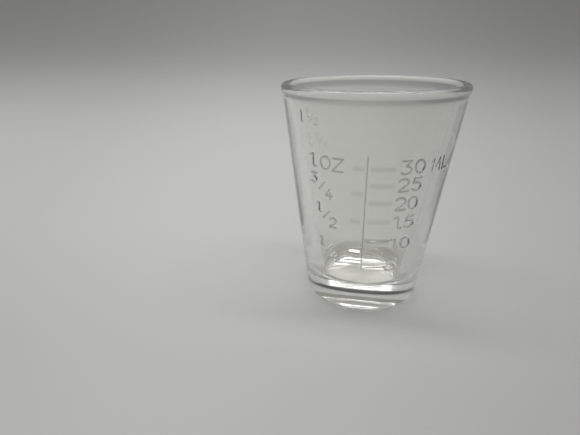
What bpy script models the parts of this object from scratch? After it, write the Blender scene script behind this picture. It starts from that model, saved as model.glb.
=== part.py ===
"""Measuring shot glass in clear pressed glass.

A tapered tumbler with a beaded rim, a heavy base hollowed underneath and a raised scale on its front.
Every mark of the scale sits at the level that its volume reaches in the modelled cavity, so the scale
stays true when a size of the glass is changed.
"""

import math

import bmesh
import bpy
from mathutils import Vector

# Sizes of the glass, in metres
GLASS_HEIGHT = 0.0635
RIM_DIAMETER = 0.0510
FOOT_DIAMETER = 0.0334
BEAD_HEIGHT = 0.0034
BEAD_SHOULDER = 0.00175
BEAD_STAND = 0.00065
RIM_WALL = 0.00263
FLOOR_THICKNESS = 0.0074
FLOOR_DIAMETER = 0.0246
RECESS_DIAMETER = 0.0248
RECESS_DEPTH = 0.0016

# Roundings of the glass
LIP_ROUND = 0.0012
BEAD_ROUND = 0.0022
NECK_FILLET = 0.0060
FLOOR_FILLET = 0.0030
HEEL_ROUND = 0.0022
RECESS_ROUND = 0.0004

# Scale: volumes in cubic metres, sizes in metres. The ounce is the labelling ounce of 30 millilitres
MILLILITRE = 1e-6
FLUID_OUNCE = 30 * MILLILITRE
MILLILITRE_MARKS = (5, 10, 15, 20, 25, 30)
OUNCE_MARKS = {"quarter": 0.25, "half": 0.5, "three_quarter": 0.75, "one": 1.0}
SCALE_AZIMUTH = math.radians(-90)
MILLILITRE_TICK_LENGTH = 0.0064
OUNCE_TICK_LENGTH = 0.0028
TICK_WIDTH = 0.0020
TICK_RELIEF = 0.0003
LINE_WIDTH = 0.0007
LINE_RELIEF = 0.0004
LINE_OVERRUN = 0.0032
SEAT_GAP = 0.00005
TICK_GAP = 0.0003

# Fineness of the faceted solids
SIDES = 80
ROUND_STEPS = 6
DOME_STEPS = 8
SECTION_STEPS = 8
TICK_STEPS = 6
LEVEL_HALVINGS = 50
MERGE_DISTANCE = 1e-6
SHARP_ANGLE = math.radians(40)

# Finish of the glass
GLASS_COLOUR = (0.93, 0.95, 0.92, 1.0)
GLASS_ROUGHNESS = 0.02
GLASS_IOR = 1.52

# Sizes that follow from the ones above
RIM_RADIUS = RIM_DIAMETER / 2
FOOT_RADIUS = FOOT_DIAMETER / 2
FLOOR_RADIUS = FLOOR_DIAMETER / 2
RECESS_RADIUS = RECESS_DIAMETER / 2
BEAD_BASE = GLASS_HEIGHT - BEAD_HEIGHT
NECK_RADIUS = RIM_RADIUS - BEAD_STAND
WALL_TAPER = (NECK_RADIUS - FOOT_RADIUS) / BEAD_BASE
WALL_LEAN = math.atan(WALL_TAPER)
BORE_TAPER = (NECK_RADIUS - RIM_WALL - FLOOR_RADIUS) / (BEAD_BASE - FLOOR_THICKNESS)


def clear_scene():
    for old in list(bpy.data.objects):
        bpy.data.objects.remove(old)


def wall_radius(height):
    """Radius of the plain outer wall at a height."""
    return FOOT_RADIUS + WALL_TAPER * height


def bore_radius(height):
    """Radius of the plain inner wall at a height."""
    return FLOOR_RADIUS + BORE_TAPER * (height - FLOOR_THICKNESS)


def rounded(corners):
    """Points of an open outline given as (radius, height, rounding) corners.

    A rounding that its two edges have no room for is reduced until it fits.
    """
    places = [Vector(corner[:2]) for corner in corners]
    edges = [(after - before).length for before, after in zip(places, places[1:])]
    bends = [None] * len(corners)
    for i in range(1, len(corners) - 1):
        back = (places[i - 1] - places[i]).normalized()
        ahead = (places[i + 1] - places[i]).normalized()
        half = back.angle(ahead) / 2
        bends[i] = (back, ahead, half, corners[i][2] / math.tan(half))

    def reach(i):
        return bends[i][3] if bends[i] else 0.0

    shares = [min(1.0, edge / max(reach(i) + reach(i + 1), edge)) for i, edge in enumerate(edges)]
    points = [places[0]]
    for i in range(1, len(corners) - 1):
        back, ahead, half, setback = bends[i]
        share = min(shares[i - 1], shares[i])
        if corners[i][2] == 0:
            points.append(places[i])
            continue
        start = places[i] + back * setback * share
        end = places[i] + ahead * setback * share
        centre = places[i] + (back + ahead).normalized() * (setback * share / math.cos(half))
        points += arc(centre, start, end)
    points.append(places[-1])
    return points


def arc(centre, start, end):
    """Points on the shorter arc about a centre, both ends included."""
    first, last = start - centre, end - centre
    turn = math.atan2(first.cross(last), first.dot(last))
    found = []
    for step in range(ROUND_STEPS + 1):
        angle = turn * step / ROUND_STEPS
        cosine, sine = math.cos(angle), math.sin(angle)
        found.append(centre + Vector((first.x * cosine - first.y * sine, first.x * sine + first.y * cosine)))
    return found


def cavity_outline():
    """Half section of the cavity, from the middle of its floor to the middle of the lip."""
    lip_inner = bore_radius(GLASS_HEIGHT)
    return rounded(
        [
            (0.0, FLOOR_THICKNESS, 0.0),
            (FLOOR_RADIUS, FLOOR_THICKNESS, FLOOR_FILLET),
            (lip_inner, GLASS_HEIGHT, LIP_ROUND),
            ((lip_inner + RIM_RADIUS) / 2, GLASS_HEIGHT, 0.0),
        ]
    )


def outer_outline():
    """Half section of the outside, from the middle of the lip down to the edge of the recess."""
    return rounded(
        [
            ((bore_radius(GLASS_HEIGHT) + RIM_RADIUS) / 2, GLASS_HEIGHT, 0.0),
            (RIM_RADIUS, GLASS_HEIGHT, LIP_ROUND),
            (RIM_RADIUS, BEAD_BASE + BEAD_SHOULDER, BEAD_ROUND),
            (NECK_RADIUS, BEAD_BASE, NECK_FILLET),
            (FOOT_RADIUS, 0.0, HEEL_ROUND),
            (RECESS_RADIUS, 0.0, RECESS_ROUND),
            tuple(recess_dome()[0]) + (0.0,),
        ]
    )


def recess_dome():
    """Half section of the shallow spherical recess, from near its edge to the axis."""
    ball = (RECESS_RADIUS**2 + RECESS_DEPTH**2) / (2 * RECESS_DEPTH)
    spread = math.asin(RECESS_RADIUS / ball)
    points = []
    for step in range(1, DOME_STEPS + 1):
        angle = spread * (1 - step / DOME_STEPS)
        points.append(Vector((ball * math.sin(angle), RECESS_DEPTH - ball * (1 - math.cos(angle)))))
    return points


def volume_below(level):
    """Volume of the cavity up to a level, summed over the cones of its section."""
    total = 0.0
    outline = cavity_outline()
    for low, high in zip(outline, outline[1:]):
        rise = high.y - low.y
        if rise <= 0 or low.y >= level:
            continue
        share = min(1.0, (level - low.y) / rise)
        top = low.x + (high.x - low.x) * share
        total += math.pi / 3 * rise * share * (low.x**2 + low.x * top + top**2)
    return total


def fill_level(volume):
    """Height that a volume reaches in the cavity, found by halving."""
    low, high = FLOOR_THICKNESS, GLASS_HEIGHT
    for _ in range(LEVEL_HALVINGS):
        middle = (low + high) / 2
        if volume_below(middle) < volume:
            low = middle
        else:
            high = middle
    return (low + high) / 2


def glass_material(name):
    material = bpy.data.materials.new(name)
    material.use_nodes = True
    shader = material.node_tree.nodes["Principled BSDF"]
    shader.inputs["Base Color"].default_value = GLASS_COLOUR
    shader.inputs["Roughness"].default_value = GLASS_ROUGHNESS
    shader.inputs["Metallic"].default_value = 0.0
    shader.inputs["IOR"].default_value = GLASS_IOR
    shader.inputs["Transmission Weight"].default_value = 1.0
    return material


def add_piece(name, mesh_data, parent):
    """Makes an object of a bmesh, with its own glass material and smooth round faces."""
    bmesh.ops.recalc_face_normals(mesh_data, faces=mesh_data.faces)
    mesh = bpy.data.meshes.new(name)
    mesh_data.to_mesh(mesh)
    mesh_data.free()
    mesh.shade_smooth()
    mesh.set_sharp_from_angle(angle=SHARP_ANGLE)
    mesh.materials.append(glass_material(name + "_glass"))
    piece = bpy.data.objects.new(name, mesh)
    piece.parent = parent
    bpy.context.scene.collection.objects.link(piece)
    return piece


def glass_body(parent):
    """The tumbler: its half section turned about the axis."""
    section = cavity_outline()[:-1] + outer_outline()[1:-1] + recess_dome()
    body = bmesh.new()
    points = [body.verts.new((point.x, 0.0, point.y)) for point in section]
    edges = [body.edges.new(pair) for pair in zip(points, points[1:])]
    section_line = points + edges
    bmesh.ops.spin(body, geom=section_line, cent=(0, 0, 0), axis=(0, 0, 1), angle=math.tau, steps=SIDES)
    bmesh.ops.remove_doubles(body, verts=body.verts, dist=MERGE_DISTANCE)
    return add_piece("glass_body", body, parent)


def on_wall(azimuth, height, slope, stand):
    """Point that lies a slope length up from a height and stands off the outer wall."""
    across = Vector((math.cos(azimuth), math.sin(azimuth), 0.0))
    up = Vector((0.0, 0.0, 1.0))
    along = across * math.sin(WALL_LEAN) + up * math.cos(WALL_LEAN)
    outward = across * math.cos(WALL_LEAN) - up * math.sin(WALL_LEAN)
    return across * wall_radius(height) + up * height + along * slope + outward * stand


def half_round(width, relief):
    """Section of a raised rib as (offset across it, stand off the wall)."""
    found = []
    for step in range(SECTION_STEPS + 1):
        angle = math.pi * step / SECTION_STEPS
        found.append((-width / 2 * math.cos(angle), SEAT_GAP + relief * math.sin(angle)))
    return found


def rib(name, loops, parent):
    """A closed solid through a row of matching loops of points."""
    solid = bmesh.new()
    rings = [[solid.verts.new(point) for point in loop] for loop in loops]
    for near, far in zip(rings, rings[1:]):
        for i in range(len(near)):
            j = (i + 1) % len(near)
            solid.faces.new((near[i], near[j], far[j], far[i]))
    solid.faces.new(rings[0])
    solid.faces.new(reversed(rings[-1]))
    return add_piece(name, solid, parent)


def scale_line(parent):
    """The upright line of the scale, along the wall."""
    lowest = fill_level(min(MILLILITRE_MARKS) * MILLILITRE) - TICK_WIDTH / 2
    highest = fill_level(max(MILLILITRE_MARKS) * MILLILITRE) + LINE_OVERRUN
    section = half_round(LINE_WIDTH, LINE_RELIEF)
    loops = []
    for height in (lowest, highest):
        loop = []
        for across, stand in section:
            azimuth = SCALE_AZIMUTH + across / wall_radius(height)
            loop.append(on_wall(azimuth, height, 0.0, stand))
        loops.append(loop)
    return rib("scale_line", loops, parent)


def tick(name, volume, length, side, parent):
    """One mark across the wall at the level of its volume; side is 1 to the right, -1 to the left."""
    height = fill_level(volume)
    radius = wall_radius(height)
    inner_end = LINE_WIDTH / 2 + TICK_GAP
    section = half_round(TICK_WIDTH, TICK_RELIEF)
    loops = []
    for step in range(TICK_STEPS + 1):
        away = inner_end + length * step / TICK_STEPS
        azimuth = SCALE_AZIMUTH + side * away / radius
        loops.append([on_wall(azimuth, height, slope, stand) for slope, stand in section])
    return rib(name, loops, parent)


def main():
    clear_scene()
    glass = bpy.data.objects.new("measuring_glass", None)
    bpy.context.scene.collection.objects.link(glass)
    glass_body(glass)
    scale_line(glass)
    for amount in MILLILITRE_MARKS:
        tick(f"mark_{amount}_ml", amount * MILLILITRE, MILLILITRE_TICK_LENGTH, 1, glass)
    for name, amount in OUNCE_MARKS.items():
        tick(f"mark_{name}_oz", amount * FLUID_OUNCE, OUNCE_TICK_LENGTH, -1, glass)


main()
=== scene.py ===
"""Looks of the measuring shot glass: clear pressed glass with a raised scale, on a plain pale stage.

The file is laid out as an add-on and is run as a script. The glass is one closed mesh: its half section is
turned about the axis, and the line, the ticks and the numerals of the scale are pressed out of its wall.
"""

import math

import bmesh
import bpy
from bpy.props import FloatProperty, FloatVectorProperty, PointerProperty
from mathutils import Matrix, Vector


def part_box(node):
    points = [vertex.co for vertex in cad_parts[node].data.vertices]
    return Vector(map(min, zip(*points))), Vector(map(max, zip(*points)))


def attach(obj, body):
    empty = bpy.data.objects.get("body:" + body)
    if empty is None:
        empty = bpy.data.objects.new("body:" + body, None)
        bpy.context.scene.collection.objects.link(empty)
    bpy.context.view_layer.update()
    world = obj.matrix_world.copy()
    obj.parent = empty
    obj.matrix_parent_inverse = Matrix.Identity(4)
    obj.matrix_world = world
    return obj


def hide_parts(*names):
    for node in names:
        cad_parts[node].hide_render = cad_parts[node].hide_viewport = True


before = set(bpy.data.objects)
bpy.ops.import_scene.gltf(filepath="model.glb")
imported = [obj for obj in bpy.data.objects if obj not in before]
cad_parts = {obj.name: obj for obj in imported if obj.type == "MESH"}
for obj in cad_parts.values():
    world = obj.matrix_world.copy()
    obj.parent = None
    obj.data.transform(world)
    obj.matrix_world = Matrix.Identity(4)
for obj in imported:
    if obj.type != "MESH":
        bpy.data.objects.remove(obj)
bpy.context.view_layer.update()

bl_info = {
    "name": "Measuring shot glass",
    "version": (1, 0, 0),
    "blender": (4, 5, 0),
    "location": "3D Viewport > Sidebar > Measuring Glass",
    "description": "Turns and presses a clear measuring shot glass and sets a plain stage for it",
    "category": "Add Mesh",
}

MILLIMETRE = 0.001

# What the frame says: the overall box of the glass and the level of each mark
GLASS_LOW, GLASS_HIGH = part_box("glass_body")
LINE_LOW, LINE_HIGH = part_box("scale_line")
MARK_NODES = sorted(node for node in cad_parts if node.startswith("mark_"))

# Fineness of the turned and pressed mesh
ROUND_STEPS = 14
DOME_STEPS = 14
PLAIN_STEP = 2.4 * MILLIMETRE
PRESSED_ROW = 0.22 * MILLIMETRE
PRESSED_COLUMN = math.radians(0.54)
LINE_COLUMN = math.radians(0.22)
TICK_COLUMN = math.radians(1.2)
PLAIN_COLUMN = math.radians(3.0)
MERGE_DISTANCE = 1e-6

# Angles from the scale line that the numerals and the ticks lie between
NUMERAL_ZONES = ((math.radians(-51), math.radians(-12.5)), (math.radians(18.5), math.radians(63)))
LINE_ZONE = (math.radians(-1.7), math.radians(1.7))
PRESSED_HEIGHTS = (12.6 * MILLIMETRE, 58.6 * MILLIMETRE)

# What is pressed out of the wall: kind, share of the relief, and share of satin roughness and painted shade
# on its surface
PRESSED_KINDS = (
    ("Ticks", 0.5, 0.42),
    ("Line", 0.9, 1.0),
    ("Numerals", 1.0, 1.2),
    ("Worn Numerals", 0.5, 0.35),
)

# Numerals, as a hand would write them: strokes in a cell one wide and one high
TEXT_STEPS = 14


def bow(centre, reach, start, end):
    """Points along an oval's arc between two angles in degrees."""
    points = []
    for step in range(TEXT_STEPS + 1):
        angle = math.radians(start + (end - start) * step / TEXT_STEPS)
        points.append((centre[0] + reach[0] * math.cos(angle), centre[1] + reach[1] * math.sin(angle)))
    return points


GLYPHS = {
    "0": [bow((0.5, 0.5), (0.46, 0.5), 0, 360)],
    "1": [[(0.18, 0.88), (0.42, 1.0), (0.54, 0.94), (0.54, 0.12), (0.64, 0.0), (0.86, 0.02)]],
    "2": [bow((0.48, 0.72), (0.44, 0.28), 165, -35) + [(0.04, 0.0), (0.98, 0.0)]],
    "3": [[(0.06, 1.0), (0.9, 1.0), (0.42, 0.6)] + bow((0.42, 0.3), (0.5, 0.3), 88, -140)],
    "4": [[(0.6, 1.0), (0.02, 0.32), (0.98, 0.32)], [(0.68, 0.62), (0.68, 0.0)]],
    "5": [[(0.94, 1.0), (0.26, 1.0), (0.14, 0.56)] + bow((0.44, 0.33), (0.5, 0.32), 128, -140)],
    "O": [bow((0.5, 0.5), (0.48, 0.5), 0, 360)],
    "Z": [[(0.04, 1.0), (0.98, 1.0), (0.02, 0.0), (0.98, 0.0)]],
    "M": [[(0.0, 0.0), (0.1, 1.0), (0.5, 0.3), (0.9, 1.0), (1.0, 0.0)]],
    "L": [[(0.06, 1.0), (0.06, 0.0), (0.9, 0.0)]],
    "/": [[(0.0, 0.0), (1.0, 1.0)]],
}

# Each label: the mark whose level it is set from, then its characters as (character, degrees from the line,
# rise of the character's middle over the level in millimetres, size in millimetres)
FIGURE = (3.0, 3.4)
FRACTION = (2.1, 2.8)
SLASH = (1.9, 2.3)
SMALL = (1.3, 1.7)
SMALL_SLASH = (1.0, 1.7)
FIRST_FIGURE, FIGURE_PITCH = 24.4, 9.4


def fraction(upper, lower, middle, rise):
    """A fraction set on the slant, the upper figure to the left of the lower one."""
    return (
        (upper, middle - 6.4, rise + 1.9, FRACTION),
        ("/", middle, rise, SLASH),
        (lower, middle + 5.6, rise - 2.0, FRACTION),
    )


def mixed(upper, lower, middle, rise):
    """One and a small fraction."""
    return (
        ("1", middle - 6.0, rise, FRACTION),
        (upper, middle + 0.6, rise + 1.2, SMALL),
        ("/", middle + 3.6, rise + 0.3, SMALL_SLASH),
        (lower, middle + 6.6, rise - 0.6, SMALL),
    )


def figures(text, rise):
    """One or two figures to the right of the millilitre ticks."""
    return tuple(
        (letter, FIRST_FIGURE + FIGURE_PITCH * place, rise, FIGURE) for place, letter in enumerate(text)
    )


LABELS = (
    ("mark_30_ml", figures("30", 0.4)),
    ("mark_25_ml", figures("25", 0.1)),
    ("mark_20_ml", figures("20", -0.3)),
    ("mark_15_ml", figures("15", -0.4)),
    ("mark_10_ml", figures("10", -0.6)),
    ("mark_5_ml", figures("5", 0.0)),
    ("mark_one_oz", (("1", -37.6, 0.8, FIGURE), ("O", -27.4, 0.6, FIGURE), ("Z", -18.6, 0.4, FIGURE))),
    ("mark_three_quarter_oz", fraction("3", "4", -31.3, 0.8)),
    ("mark_half_oz", fraction("1", "2", -28.8, 0.4)),
    ("mark_quarter_oz", fraction("1", "4", -28.2, -0.4)),
)
WORN_LABELS = (
    ("mark_30_ml", (("M", 48.4, 0.0, FIGURE), ("L", 58.8, 0.0, FIGURE))),
    ("mark_one_oz", mixed("1", "2", -39.6, 11.6)),
    ("mark_one_oz", mixed("1", "4", -33.2, 6.0)),
)


class TumblerSizes(bpy.types.PropertyGroup):
    """Sizes of the turned glass."""

    height: FloatProperty(
        name="Height", description="Foot to lip", default=GLASS_HIGH.z - GLASS_LOW.z, unit="LENGTH"
    )
    rim_diameter: FloatProperty(
        name="Rim",
        description="Across the bead of the rim",
        default=GLASS_HIGH.x - GLASS_LOW.x,
        unit="LENGTH",
    )
    foot_diameter: FloatProperty(
        name="Foot",
        description="Across the outer wall, carried down to the table",
        default=0.0334,
        unit="LENGTH",
    )
    bead_height: FloatProperty(
        name="Bead height", description="Lip to the foot of the bead", default=0.0034, unit="LENGTH"
    )
    bead_shoulder: FloatProperty(
        name="Bead shoulder",
        description="Height of the bead's slanted underside",
        default=0.00175,
        unit="LENGTH",
    )
    bead_stand: FloatProperty(
        name="Bead stand",
        description="How far the bead stands out of the wall",
        default=0.00065,
        unit="LENGTH",
    )
    rim_wall: FloatProperty(
        name="Wall at rim", description="Thickness of the wall below the bead", default=0.00263, unit="LENGTH"
    )
    floor_thickness: FloatProperty(
        name="Floor", description="Table to the floor of the cavity", default=0.0074, unit="LENGTH"
    )
    floor_diameter: FloatProperty(
        name="Floor diameter", description="Across the floor before its fillet", default=0.0246, unit="LENGTH"
    )
    recess_diameter: FloatProperty(
        name="Recess diameter", description="Across the hollow under the base", default=0.0248, unit="LENGTH"
    )
    recess_depth: FloatProperty(
        name="Recess depth", description="Depth of the hollow under the base", default=0.0016, unit="LENGTH"
    )
    lip_round: FloatProperty(name="Lip round", description="Radius on the lip", default=0.0012, unit="LENGTH")
    bead_round: FloatProperty(
        name="Bead round", description="Radius under the bead", default=0.0022, unit="LENGTH"
    )
    neck_fillet: FloatProperty(
        name="Neck fillet", description="Fillet from the bead to the wall", default=0.0060, unit="LENGTH"
    )
    floor_fillet: FloatProperty(
        name="Floor fillet", description="Fillet round the floor of the cavity", default=0.0030, unit="LENGTH"
    )
    heel_round: FloatProperty(
        name="Heel round", description="Radius from the wall to the foot", default=0.0022, unit="LENGTH"
    )
    recess_round: FloatProperty(
        name="Recess round", description="Radius at the edge of the recess", default=0.0004, unit="LENGTH"
    )


class ScaleSizes(bpy.types.PropertyGroup):
    """Sizes of the raised scale."""

    tick_width: FloatProperty(
        name="Tick width", description="Width of a volume mark", default=0.0022, unit="LENGTH"
    )
    line_width: FloatProperty(
        name="Line width", description="Width of the upright line", default=0.0007, unit="LENGTH"
    )
    stroke_width: FloatProperty(
        name="Stroke width", description="Width of a numeral's stroke", default=0.0007, unit="LENGTH"
    )
    relief: FloatProperty(
        name="Relief", description="How far the scale stands out of the wall", default=0.0003, unit="LENGTH"
    )
    tick_slope: FloatProperty(
        name="Tick edge", description="Width over which a volume mark rises", default=0.0010, unit="LENGTH"
    )
    line_slope: FloatProperty(
        name="Line edge",
        description="Width over which the upright line rises",
        default=0.00035,
        unit="LENGTH",
    )
    stroke_slope: FloatProperty(
        name="Stroke edge",
        description="Width over which a numeral's stroke rises",
        default=0.0003,
        unit="LENGTH",
    )


class GlassFinish(bpy.types.PropertyGroup):
    """Finish of the clear glass, with painted shade on the raised marks and the heel."""

    tint: FloatVectorProperty(
        name="Tint",
        description="Colour of the clear glass",
        default=(0.955, 0.954, 0.931),
        size=3,
        subtype="COLOR",
    )
    streak: FloatVectorProperty(
        name="Streak",
        description="Colour of faint streaks",
        default=(0.938, 0.938, 0.909),
        size=3,
        subtype="COLOR",
    )
    refraction: FloatProperty(name="Refraction", description="Index of refraction", default=1.52)
    # Painted shade: the raised marks are mixed towards this dark colour, standing in for the dark refraction
    # along them
    haze: FloatVectorProperty(
        name="Shaded marks",
        description="Colour of the raised marks",
        default=(0.38, 0.39, 0.37),
        size=3,
        subtype="COLOR",
    )
    satin: FloatProperty(name="Satin", description="Roughness of the raised marks", default=0.2)
    lip_wear: FloatProperty(name="Lip wear", description="Roughness of the worn lip", default=0.2)
    # Painted shade: the heel is mixed towards this darker colour to darken the thick base and dim its
    # highlights
    heel_shade: FloatVectorProperty(
        name="Heel shade",
        description="Deeper colour of the thick heel",
        default=(0.66, 0.66, 0.605),
        size=3,
        subtype="COLOR",
    )
    heel_wear: FloatProperty(name="Heel wear", description="Roughness of the rubbed heel", default=0.05)
    heel_height: FloatProperty(
        name="Heel height", description="How far up the heel goes", default=0.0085, unit="LENGTH"
    )


class StageLook(bpy.types.PropertyGroup):
    """Floor, backdrop and light."""

    paper: FloatVectorProperty(
        name="Paper",
        description="Colour of the floor and backdrop",
        default=(0.80, 0.802, 0.788),
        size=3,
        subtype="COLOR",
    )
    key_power: FloatProperty(
        name="Key light", description="Power of the long lamp overhead", default=3.1, unit="POWER"
    )
    fill_power: FloatProperty(
        name="Ceiling", description="Power of the wide dim ceiling", default=16.3, unit="POWER"
    )
    room: FloatProperty(name="Room light", description="Strength of the light of the room", default=0.11)


class Value:
    """A socket of a node tree that takes part in plain arithmetic; each step adds a Math node."""

    def __init__(self, nodes, socket):
        self.nodes = nodes
        self.socket = socket

    def maths(self, operation, *values):
        inputs = dict(enumerate(values))
        return self.nodes.add("ShaderNodeMath", {"operation": operation}, inputs)["Value"]

    def __add__(self, other):
        return self.maths("ADD", self, other)

    def __radd__(self, other):
        return self.maths("ADD", other, self)

    def __sub__(self, other):
        return self.maths("SUBTRACT", self, other)

    def __rsub__(self, other):
        return self.maths("SUBTRACT", other, self)

    def __mul__(self, other):
        return self.maths("MULTIPLY", self, other)

    def __rmul__(self, other):
        return self.maths("MULTIPLY", other, self)

    def __truediv__(self, other):
        return self.maths("DIVIDE", self, other)

    def __rtruediv__(self, other):
        return self.maths("DIVIDE", other, self)

    def __neg__(self):
        return self.maths("MULTIPLY", self, -1.0)

    def sine(self):
        return self.maths("SINE", self)

    def cosine(self):
        return self.maths("COSINE", self)

    def whole(self):
        return self.maths("FLOOR", self)

    def larger(self, other):
        return self.maths("MAXIMUM", self, other)

    def smaller(self, other):
        return self.maths("MINIMUM", self, other)


class Nodes:
    """A node tree that is written as expressions."""

    def __init__(self, tree):
        self.tree = tree

    def add(self, kind, settings=None, inputs=None):
        """Adds a node, sets it up, feeds its sockets with values or links, and gives its outputs by name."""
        node = self.tree.nodes.new(kind)
        for name, setting in (settings or {}).items():
            if name == "stops":
                self.set_stops(node.color_ramp, setting)
            else:
                setattr(node, name, setting)
        for name, value in (inputs or {}).items():
            if isinstance(value, Value):
                self.tree.links.new(value.socket, node.inputs[name])
            else:
                node.inputs[name].default_value = value
        return {socket.name: Value(self, socket) for socket in reversed(node.outputs)}

    @staticmethod
    def set_stops(ramp, stops):
        ramp.interpolation = "B_SPLINE"
        while len(ramp.elements) < len(stops):
            ramp.elements.new(1.0)
        for element, (place, colour) in zip(ramp.elements, stops):
            element.position = place
            element.color = colour

    def vector(self, x, y, z):
        return self.add("ShaderNodeCombineXYZ", None, {"X": x, "Y": y, "Z": z})["Vector"]


def settings():
    return bpy.context.scene.measuring_glass


def wall_radius(height):
    """Radius of the plain outer wall at a height."""
    sizes = settings().tumbler
    bead_base = sizes.height - sizes.bead_height
    neck = sizes.rim_diameter / 2 - sizes.bead_stand
    return sizes.foot_diameter / 2 + (neck - sizes.foot_diameter / 2) * height / bead_base


def arc(centre, start, end):
    """Points on the shorter arc about a centre, both ends included."""
    first, last = start - centre, end - centre
    turn = math.atan2(first.cross(last), first.dot(last))
    points = []
    for step in range(ROUND_STEPS + 1):
        angle = turn * step / ROUND_STEPS
        cosine, sine = math.cos(angle), math.sin(angle)
        points.append(centre + Vector((first.x * cosine - first.y * sine, first.x * sine + first.y * cosine)))
    return points


def rounded(corners):
    """Points of an open outline given as (radius, height, rounding) corners."""
    places = [Vector(corner[:2]) for corner in corners]
    points = [places[0]]
    for before, corner, place, after in zip(places, corners[1:], places[1:], places[2:]):
        back = (before - place).normalized()
        ahead = (after - place).normalized()
        half = back.angle(ahead) / 2
        setback = corner[2] / math.tan(half)
        middle = place + (back + ahead).normalized() * (setback / math.cos(half))
        points += arc(middle, place + back * setback, place + ahead * setback)
    points.append(places[-1])
    return points


def steps_between(start, end, spacing):
    """Places from start up to, not including, end, close to a spacing apart."""
    count = max(1, round(abs(end - start) / spacing))
    return [start + (end - start) * i / count for i in range(count)]


def half_section():
    """Points of the half section from the middle of the cavity's floor to the middle of the recess,
    and for each point whether the scale may be pressed out of it."""
    sizes = settings().tumbler
    rim, foot = sizes.rim_diameter / 2, sizes.foot_diameter / 2
    bead_base = sizes.height - sizes.bead_height
    neck = rim - sizes.bead_stand
    floor = sizes.floor_diameter / 2
    bore_taper = (neck - sizes.rim_wall - floor) / (bead_base - sizes.floor_thickness)
    lip = floor + bore_taper * (sizes.height - sizes.floor_thickness)
    recess = sizes.recess_diameter / 2
    ball = (recess**2 + sizes.recess_depth**2) / (2 * sizes.recess_depth)
    spread = math.asin(recess / ball)
    dome = []
    for step in range(1, DOME_STEPS + 1):
        angle = spread * (1 - step / DOME_STEPS)
        dome.append(Vector((ball * math.sin(angle), sizes.recess_depth - ball * (1 - math.cos(angle)))))
    outline = rounded(
        [
            (0.0, sizes.floor_thickness, 0.0),
            (floor, sizes.floor_thickness, sizes.floor_fillet),
            (lip, sizes.height, sizes.lip_round),
            (rim, sizes.height, sizes.lip_round),
            (rim, bead_base + sizes.bead_shoulder, sizes.bead_round),
            (neck, bead_base, sizes.neck_fillet),
            (foot, 0.0, sizes.heel_round),
            (recess, 0.0, sizes.recess_round),
            (dome[0].x, dome[0].y, 0.0),
        ]
    )
    points, pressed = [], []
    for near, far in zip(outline, outline[1:]):
        run = (far - near).length
        on_wall = near.y > far.y and run > sizes.height / 2
        if on_wall:
            places = wall_rows(near.y, far.y)
        else:
            places = steps_between(0.0, 1.0, PLAIN_STEP / max(run, MERGE_DISTANCE))
        points += [near.lerp(far, place) for place in places]
        pressed += [on_wall and place > 0 for place in places]
    points += dome
    pressed += [False] * len(dome)
    return points, pressed


def wall_rows(top, bottom):
    """Places of the rows down the outer wall, as shares of its run, fine where the scale is."""
    low, high = PRESSED_HEIGHTS
    heights = steps_between(top, high, PLAIN_STEP)
    heights += steps_between(high, low, PRESSED_ROW)
    heights += steps_between(low, bottom, PLAIN_STEP)
    return [(height - top) / (bottom - top) for height in heights]


def columns():
    """Angles of the columns round the glass, from the back round to the back, fine where the scale is."""
    (left, left_end), (right, right_end) = NUMERAL_ZONES
    angles = steps_between(-math.pi, left, PLAIN_COLUMN)
    angles += steps_between(left, left_end, PRESSED_COLUMN)
    angles += steps_between(left_end, LINE_ZONE[0], TICK_COLUMN)
    angles += steps_between(*LINE_ZONE, LINE_COLUMN)
    angles += steps_between(LINE_ZONE[1], right, TICK_COLUMN)
    angles += steps_between(right, right_end, PRESSED_COLUMN)
    angles += steps_between(right_end, math.pi, PLAIN_COLUMN)
    return angles + [math.pi]


def guide(name, polylines):
    """A helper object of plain edges. Its points are given in the flat: along the wall, then up."""
    points, edges = [], []
    for line in polylines:
        first = len(points)
        points += [(x, 0.0, y) for x, y in line]
        edges += [(first + i, first + i + 1) for i in range(len(line) - 1)]
    mesh = bpy.data.meshes.new(name)
    mesh.from_pydata(points, edges, [])
    helper = bpy.data.objects.new(name, mesh)
    bpy.context.scene.collection.objects.link(helper)
    return helper


def tick_lines():
    """Middle line of each mark, from the box of its solid in the frame."""
    scale = settings().scale
    inset = (scale.tick_width - scale.tick_slope) / 2
    lines = []
    for node in MARK_NODES:
        low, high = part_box(node)
        level = (low.z + high.z) / 2
        radius = wall_radius(level)
        ends = [radius * math.asin(side / radius) for side in (low.x, high.x)]
        lines.append([(ends[0] + inset, level), (ends[1] - inset, level)])
    return lines


def numeral_lines(labels):
    """Strokes of labels, laid out on the wall unrolled."""
    lines = []
    for node, letters in labels:
        low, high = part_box(node)
        level = (low.z + high.z) / 2
        for letter, degrees, rise, (width, height) in letters:
            middle_height = level + rise * MILLIMETRE
            middle_along = math.radians(degrees) * wall_radius(middle_height)
            for stroke in GLYPHS[letter]:
                lines.append(
                    [
                        (
                            middle_along + (x - 0.5) * width * MILLIMETRE,
                            middle_height + (y - 0.5) * height * MILLIMETRE,
                        )
                        for x, y in stroke
                    ]
                )
    return lines


def pressed_share(nodes, lines, place, width, slope):
    """How far a guide's marks stand out of the wall at a place in the flat, as a share of the relief."""
    near = nodes.add(
        "GeometryNodeProximity", {"target_element": "EDGES"}, {"Geometry": lines, "Sample Position": place}
    )["Distance"]
    rise = ((width / 2 - near) / slope).larger(0.0).smaller(1.0)
    return rise * rise * (3.0 - 2.0 * rise)


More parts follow.
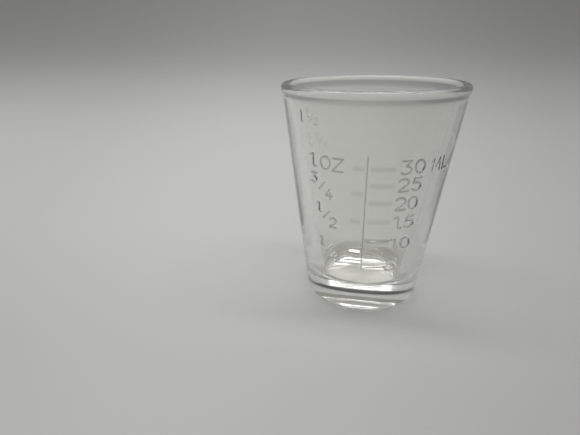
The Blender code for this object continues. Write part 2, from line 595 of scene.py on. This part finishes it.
def glass_tree():
    """The rule of the glass: the half section turned about the axis, the scale pressed out of its wall."""
    tree = bpy.data.node_groups.new("Turned and pressed glass", "GeometryNodeTree")
    inlets = [
        ("Half Section", "NodeSocketGeometry"),
        ("Columns", "NodeSocketObject"),
        ("Relief", "NodeSocketFloat"),
        ("Wall Lean", "NodeSocketFloat"),
        ("Merge Distance", "NodeSocketFloat"),
        ("Material", "NodeSocketMaterial"),
    ]
    for name, *_ in PRESSED_KINDS:
        inlets += [(name, "NodeSocketObject")]
        inlets += [(name + " Width", "NodeSocketFloat"), (name + " Slope", "NodeSocketFloat")]
    for name, kind in inlets:
        tree.interface.new_socket(name, in_out="INPUT", socket_type=kind)
    tree.interface.new_socket("Glass", in_out="OUTPUT", socket_type="NodeSocketGeometry")
    nodes = Nodes(tree)
    inlet = nodes.add("NodeGroupInput")

    def shape_of(name):
        return nodes.add("GeometryNodeObjectInfo", None, {"Object": inlet[name]})["Geometry"]

    def count_of(geometry):
        return nodes.add("GeometryNodeAttributeDomainSize", None, {"Geometry": geometry})["Point Count"]

    def read(geometry, kind, value, index):
        reader = {"data_type": kind, "domain": "POINT"}
        return nodes.add(
            "GeometryNodeSampleIndex", reader, {"Geometry": geometry, "Value": value, "Index": index}
        )["Value"]

    section, column_list = inlet["Half Section"], shape_of("Columns")
    rows = count_of(section)
    grid = nodes.add(
        "GeometryNodeMeshGrid", None, {"Vertices X": count_of(column_list), "Vertices Y": rows}
    )["Mesh"]
    index = nodes.add("GeometryNodeInputIndex")["Index"]
    position = nodes.add("GeometryNodeInputPosition")["Position"]
    column = ((index + 0.5) / rows).whole()
    row = index - column * rows
    corner = nodes.add(
        "ShaderNodeSeparateXYZ", None, {"Vector": read(section, "FLOAT_VECTOR", position, row)}
    )
    turn = nodes.add(
        "ShaderNodeSeparateXYZ", None, {"Vector": read(column_list, "FLOAT_VECTOR", position, column)}
    )["X"]
    wall = nodes.add(
        "GeometryNodeInputNamedAttribute", {"data_type": "FLOAT"}, {"Name": "pressed"}
    )["Attribute"]
    on_wall = read(section, "FLOAT", wall, row)
    radius, height = corner["X"], corner["Z"]
    flat = nodes.vector(turn * radius, 0.0, height)
    stand = haze = 0.0
    for name, height_share, shaded_marks_share in PRESSED_KINDS:
        width = inlet[name + " Width"]
        raised = pressed_share(nodes, shape_of(name), flat, width, inlet[name + " Slope"].smaller(width / 2))
        stand = (raised * height_share).larger(stand)
        haze = (raised * shaded_marks_share).larger(haze)
    stand = stand * on_wall * inlet["Relief"]
    reach = radius + stand * inlet["Wall Lean"].cosine()
    level = height - stand * inlet["Wall Lean"].sine()
    place = nodes.vector(reach * turn.sine(), -(reach * turn.cosine()), level)
    # The marks' share stored here sets where they get satin roughness and painted shade
    marked = nodes.add(
        "GeometryNodeStoreNamedAttribute",
        {"data_type": "FLOAT", "domain": "POINT"},
        {"Geometry": grid, "Name": "haze", "Value": haze * on_wall},
    )["Geometry"]
    shaped = nodes.add("GeometryNodeSetPosition", None, {"Geometry": marked, "Position": place})["Geometry"]
    closed = nodes.add(
        "GeometryNodeMergeByDistance", None, {"Geometry": shaped, "Distance": inlet["Merge Distance"]}
    )["Geometry"]
    smooth = nodes.add("GeometryNodeSetShadeSmooth", None, {"Geometry": closed})["Geometry"]
    real = nodes.add("GeometryNodeRealizeInstances", None, {"Geometry": smooth})["Geometry"]
    finished = nodes.add(
        "GeometryNodeSetMaterial", None, {"Geometry": real, "Material": inlet["Material"]}
    )["Geometry"]
    nodes.add("NodeGroupOutput", None, {"Glass": finished})
    return tree


def section_object(name):
    """The half section as a helper object, with the points that take the scale marked."""
    points, pressed = half_section()
    mesh = bpy.data.meshes.new(name)
    mesh.from_pydata([(point.x, 0.0, point.y) for point in points], [], [])
    marks = mesh.attributes.new("pressed", "FLOAT", "POINT")
    marks.data.foreach_set("value", [float(mark) for mark in pressed])
    section = bpy.data.objects.new(name, mesh)
    bpy.context.scene.collection.objects.link(section)
    return section


# Finish of the clear glass: sizes of its patterns, their fineness, and how rough and uneven it is
STREAK_SCALE, STREAK_DETAIL = 60.0, 3.0
HANDLING_SCALE, HANDLING_DETAIL = 140.0, 4.0
WAVE_SCALE, WAVE_DETAIL = 110.0, 1.0
STREAK_RANGE = (0.35, 0.75)
POLISHED, HANDLED = 0.004, 0.012
WAVE_STRENGTH, WAVE_HEIGHT = 0.12, 0.4 * MILLIMETRE

# How soon the heel's rubbed finish and painted shade set in outside the recess and fade up the wall, as
# shares
HEEL_START = 0.1
HEEL_FADE = 1 / 3


def clear_glass():
    """Clear pressed glass, with faint streaks and the soft unevenness of a fire-polished surface, and painted
    shade darkening the raised marks and the heel.
    """
    finish = settings().finish
    material = bpy.data.materials.new("Clear pressed glass")
    material.use_nodes = True
    nodes = Nodes(material.node_tree)
    shader = material.node_tree.nodes["Principled BSDF"]
    shader.inputs["Transmission Weight"].default_value = 1.0
    shader.inputs["IOR"].default_value = finish.refraction
    place = nodes.add("ShaderNodeTexCoord")["Object"]

    def noise(scale, detail):
        pattern = {"Vector": place, "Scale": scale, "Detail": detail}
        return nodes.add("ShaderNodeTexNoise", None, pattern)["Fac"]

    tints = zip(STREAK_RANGE, (finish.tint, finish.streak))
    colour = nodes.add(
        "ShaderNodeValToRGB",
        {"stops": tuple((spot, (*tint, 1.0)) for spot, tint in tints)},
        {"Fac": noise(STREAK_SCALE, STREAK_DETAIL)},
    )["Color"]
    handling = noise(HANDLING_SCALE, HANDLING_DETAIL)
    haze = nodes.add("ShaderNodeAttribute", {"attribute_name": "haze"})["Fac"]
    sizes = settings().tumbler
    part = nodes.add("ShaderNodeSeparateXYZ", None, {"Vector": place})
    level = part["Z"]
    lip = ((level - (sizes.height - sizes.lip_round)) / sizes.lip_round).larger(0.0).smaller(1.0)
    spread = (part["X"] * part["X"] + part["Y"] * part["Y"]) / (sizes.recess_diameter / 2) ** 2
    outside = ((spread - 1.0) / HEEL_START).larger(0.0).smaller(1.0)
    fade = finish.heel_height * HEEL_FADE
    heel = outside * ((finish.heel_height - level) / fade).larger(0.0).smaller(1.0)
    rough = POLISHED + HANDLED * handling * handling
    rough = rough + finish.satin * haze + finish.lip_wear * lip + finish.heel_wear * heel
    # Painted shade: the raised marks and the heel are mixed towards darker colours
    for share, tone in ((haze, finish.haze), (heel, finish.heel_shade)):
        colour = nodes.add(
            "ShaderNodeMixRGB", None, {"Fac": share, "Color1": colour, "Color2": (*tone, 1.0)}
        )["Color"]
    waves = noise(WAVE_SCALE, WAVE_DETAIL)
    uneven = nodes.add(
        "ShaderNodeBump", None, {"Strength": WAVE_STRENGTH, "Distance": WAVE_HEIGHT, "Height": waves}
    )["Normal"]
    for name, value in (("Base Color", colour), ("Roughness", rough), ("Normal", uneven)):
        material.node_tree.links.new(value.socket, shader.inputs[name])
    return material


class MEASURING_GLASS_OT_tumbler(bpy.types.Operator):
    """Turn the glass and press its scale"""

    bl_idname = "measuring_glass.tumbler"
    bl_label = "Tumbler with Scale"

    def execute(self, context):
        scale = settings().scale
        glass = section_object("measuring_glass")
        column_list = guide("columns", [[(angle, 0.0) for angle in columns()]])
        upright = [[(0.0, LINE_LOW.z), (0.0, LINE_HIGH.z)]]
        marks = {
            "Ticks": (tick_lines(), scale.tick_width, scale.tick_slope),
            "Line": (upright, scale.line_width, scale.line_slope),
            "Numerals": (numeral_lines(LABELS), scale.stroke_width, scale.stroke_slope),
            "Worn Numerals": (numeral_lines(WORN_LABELS), scale.stroke_width, scale.stroke_slope),
        }
        tree = glass_tree()
        press = glass.modifiers.new("Turned and pressed glass", "NODES")
        press.node_group = tree
        values = {
            "Columns": column_list,
            "Relief": scale.relief,
            "Wall Lean": math.atan(wall_radius(1.0) - wall_radius(0.0)),
            "Merge Distance": MERGE_DISTANCE,
            "Material": clear_glass(),
        }
        for name, (lines, width, slope) in marks.items():
            values |= {name: guide(name, lines), name + " Width": width, name + " Slope": slope}
        for item in tree.interface.items_tree:
            if item.in_out == "INPUT" and item.name in values:
                press[item.identifier] = values[item.name]
        graph = context.evaluated_depsgraph_get()
        mesh = bpy.data.meshes.new_from_object(glass.evaluated_get(graph), depsgraph=graph)
        glass.modifiers.remove(press)
        glass.data = mesh
        face_outwards(mesh)
        for helper in (column_list, *(values[name] for name in marks)):
            bpy.data.objects.remove(helper)
        bpy.data.node_groups.remove(tree)
        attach(glass, "root")
        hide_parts("glass_body", "scale_line", *MARK_NODES)
        return {"FINISHED"}


def face_outwards(mesh):
    """Turns every face of a closed mesh outwards and stops if the mesh isn't closed."""
    shape = bmesh.new()
    shape.from_mesh(mesh)
    bmesh.ops.recalc_face_normals(shape, faces=shape.faces)
    if any(len(edge.link_faces) != 2 for edge in shape.edges):
        raise RuntimeError(f"{mesh.name} has open edges")
    if shape.calc_volume(signed=True) < 0:
        bmesh.ops.reverse_faces(shape, faces=shape.faces)
    shape.to_mesh(mesh)
    shape.free()


# Stage: the camera of the photograph's view, with the picture 580 wide and 435 high
CAMERA_PLACE = Vector((0.0, -0.13169, 0.07514))
CAMERA_TURN = math.radians(12.21)
CAMERA_DIP = math.radians(21.78)
CAMERA_ROLL = math.radians(-0.71)
CAMERA_SHIFT = 0.0281
CAMERA_LENS = 28.0
CAMERA_SENSOR = 36.0
CAMERA_NEAR = 5 * MILLIMETRE

SWEEP_WIDTH = 4.0
SWEEP_FRONT = -2.0
SWEEP_BACK = 0.42
SWEEP_ROUND = 0.35
SWEEP_TURN = math.radians(60)
SWEEP_LEVEL = -0.1 * MILLIMETRE
SHADE_FRONT = 0.1
FAN_DEPTH = 0.35
FAN_LEAST = 0.1
SWEEP_STEPS = 24

# Shades of the paper, as (place, share of its colour): over the mottle, from in front of the glass up the
# backdrop in metres, and over a fan from left to right, straight ahead at 0.5. The depth and side shades
# are painted shade: the paper is darker in front, up the backdrop and to the sides, where the light falls off
MOTTLE_SHADES = ((0.3, 0.985), (0.7, 1.0))
DEPTH_PAINTED_SHADES = (
    (0.0, 0.80),
    (0.05, 0.85),
    (0.08, 0.90),
    (0.13, 0.97),
    (0.25, 0.985),
    (0.40, 0.975),
    (0.60, 0.94),
    (0.75, 0.64),
    (0.90, 0.57),
    (1.0, 0.56),
)
SIDE_PAINTED_SHADES = (
    (0.0, 0.89),
    (0.17, 0.87),
    (0.27, 0.865),
    (0.33, 0.90),
    (0.42, 1.0),
    (0.50, 0.93),
    (0.56, 0.81),
    (0.62, 0.725),
    (0.8, 0.6),
)

# Surface of the paper
MOTTLE_SCALE, MOTTLE_DETAIL = 9.0, 2.0
PAPER_ROUGHNESS = 0.9
PAPER_SHEEN = 0.1
WHITE = (1.0, 1.0, 1.0)

# Lamps, all facing down: place, then width and depth
KEY_LAMP = (Vector((-0.05, 0.0, 0.9)), (1.4, 0.16))
FILL_LAMP = (Vector((0.0, 0.2, 1.2)), (4.0, 4.0))

# Light goes on through many turns inside the thick glass
GLASS_BOUNCES = 64
ALL_BOUNCES = 96


def sweep_paper():
    """Pale paper with a faint mottle, and painted shade that makes it darker in front, up the backdrop and to
    the sides, where the light falls off.
    """
    look = settings().stage
    material = bpy.data.materials.new("Pale paper")
    material.use_nodes = True
    nodes = Nodes(material.node_tree)
    shader = material.node_tree.nodes["Principled BSDF"]
    shader.inputs["Roughness"].default_value = PAPER_ROUGHNESS
    shader.inputs["Specular IOR Level"].default_value = PAPER_SHEEN
    place = nodes.add("ShaderNodeTexCoord")["Object"]
    part = nodes.add("ShaderNodeSeparateXYZ", None, {"Vector": place})

    def shade(along, stops, colour):
        greys = tuple((spot, (*(share * each for each in colour), 1.0)) for spot, share in stops)
        return nodes.add("ShaderNodeValToRGB", {"stops": greys}, {"Fac": along})["Color"]

    mottle = nodes.add(
        "ShaderNodeTexNoise", None, {"Vector": place, "Scale": MOTTLE_SCALE, "Detail": MOTTLE_DETAIL}
    )["Fac"]
    colour = shade(mottle, MOTTLE_SHADES, look.paper)
    depth = part["Y"] + part["Z"] + SHADE_FRONT
    fan = part["X"] / (part["Y"] + FAN_DEPTH).larger(FAN_LEAST)
    # Painted shade: the depth and side shades darken the paper where the light falls off
    for along, stops in ((depth, DEPTH_PAINTED_SHADES), (fan / 2.0 + 0.5, SIDE_PAINTED_SHADES)):
        grey = shade(along, stops, WHITE)
        colour = nodes.add("ShaderNodeVectorMath", {"operation": "MULTIPLY"}, {0: colour, 1: grey})["Vector"]
    material.node_tree.links.new(colour.socket, shader.inputs["Base Color"])
    return material


def sweep():
    """Floor and backdrop in one sheet, curved where they meet."""
    line = [Vector((SWEEP_FRONT, 0.0)), Vector((SWEEP_BACK, 0.0))]
    for step in range(1, SWEEP_STEPS + 1):
        angle = SWEEP_TURN * step / SWEEP_STEPS
        line.append(Vector((SWEEP_BACK + SWEEP_ROUND * math.sin(angle), SWEEP_ROUND * (1 - math.cos(angle)))))
    points = [(side * SWEEP_WIDTH / 2, point.x, point.y + SWEEP_LEVEL) for point in line for side in (-1, 1)]
    faces = [(2 * i, 2 * i + 1, 2 * i + 3, 2 * i + 2) for i in range(len(line) - 1)]
    mesh = bpy.data.meshes.new("sweep")
    mesh.from_pydata(points, [], faces)
    mesh.shade_smooth()
    mesh.materials.append(sweep_paper())
    floor = bpy.data.objects.new("sweep", mesh)
    bpy.context.scene.collection.objects.link(floor)
    return floor


def soft_light(name, power, place, size):
    """A round or oval soft lamp that faces down."""
    lamp = bpy.data.lights.new(name, "AREA")
    lamp.energy = power
    lamp.shape = "ELLIPSE"
    lamp.size, lamp.size_y = size
    holder = bpy.data.objects.new(name, lamp)
    holder.location = place
    bpy.context.scene.collection.objects.link(holder)


class MEASURING_GLASS_OT_stage(bpy.types.Operator):
    """Set the floor, the light and the camera"""

    bl_idname = "measuring_glass.stage"
    bl_label = "Stage"

    def execute(self, context):
        scene = context.scene
        look = settings().stage
        sweep()
        soft_light("key", look.key_power, *KEY_LAMP)
        soft_light("ceiling", look.fill_power, *FILL_LAMP)
        scene.world = bpy.data.worlds.new("Room")
        scene.world.use_nodes = True
        background = scene.world.node_tree.nodes["Background"]
        background.inputs["Color"].default_value = (*WHITE, 1.0)
        background.inputs["Strength"].default_value = look.room
        lens = bpy.data.cameras.new("camera")
        lens.lens = CAMERA_LENS
        lens.sensor_width = CAMERA_SENSOR
        lens.shift_x = CAMERA_SHIFT
        lens.clip_start = CAMERA_NEAR
        camera = bpy.data.objects.new("camera", lens)
        camera.matrix_world = (
            Matrix.Translation(CAMERA_PLACE)
            @ Matrix.Rotation(CAMERA_TURN, 4, "Z")
            @ Matrix.Rotation(math.pi / 2 - CAMERA_DIP, 4, "X")
            @ Matrix.Rotation(CAMERA_ROLL, 4, "Z")
        )
        scene.collection.objects.link(camera)
        scene.camera = camera
        scene.view_settings.view_transform = "Standard"
        scene.cycles.transmission_bounces = GLASS_BOUNCES
        scene.cycles.glossy_bounces = GLASS_BOUNCES
        scene.cycles.max_bounces = ALL_BOUNCES
        scene.cycles.blur_glossy = 0.0
        return {"FINISHED"}


class MEASURING_GLASS_PT_panel(bpy.types.Panel):
    """Sidebar panel of the measuring glass"""

    bl_label = "Measuring Glass"
    bl_idname = "MEASURING_GLASS_PT_panel"
    bl_space_type = "VIEW_3D"
    bl_region_type = "UI"
    bl_category = "Measuring Glass"

    def draw(self, context):
        glass = context.scene.measuring_glass
        parts = (("tumbler", (glass.tumbler, glass.scale, glass.finish)), ("stage", (glass.stage,)))
        for operator, groups in parts:
            box = self.layout.box()
            for group in groups:
                for name in group.__annotations__:
                    box.prop(group, name)
            box.operator("measuring_glass." + operator)


class MeasuringGlass(bpy.types.PropertyGroup):
    """Everything that a user may change."""

    tumbler: PointerProperty(type=TumblerSizes)
    scale: PointerProperty(type=ScaleSizes)
    finish: PointerProperty(type=GlassFinish)
    stage: PointerProperty(type=StageLook)


CLASSES = (
    TumblerSizes,
    ScaleSizes,
    GlassFinish,
    StageLook,
    MeasuringGlass,
    MEASURING_GLASS_OT_tumbler,
    MEASURING_GLASS_OT_stage,
    MEASURING_GLASS_PT_panel,
)


def register():
    for item in CLASSES:
        bpy.utils.register_class(item)
    bpy.types.Scene.measuring_glass = PointerProperty(type=MeasuringGlass)


def unregister():
    del bpy.types.Scene.measuring_glass
    for item in reversed(CLASSES):
        bpy.utils.unregister_class(item)


def main():
    register()
    bpy.ops.measuring_glass.tumbler()
    bpy.ops.measuring_glass.stage()


if __name__ == "__main__":
    main()
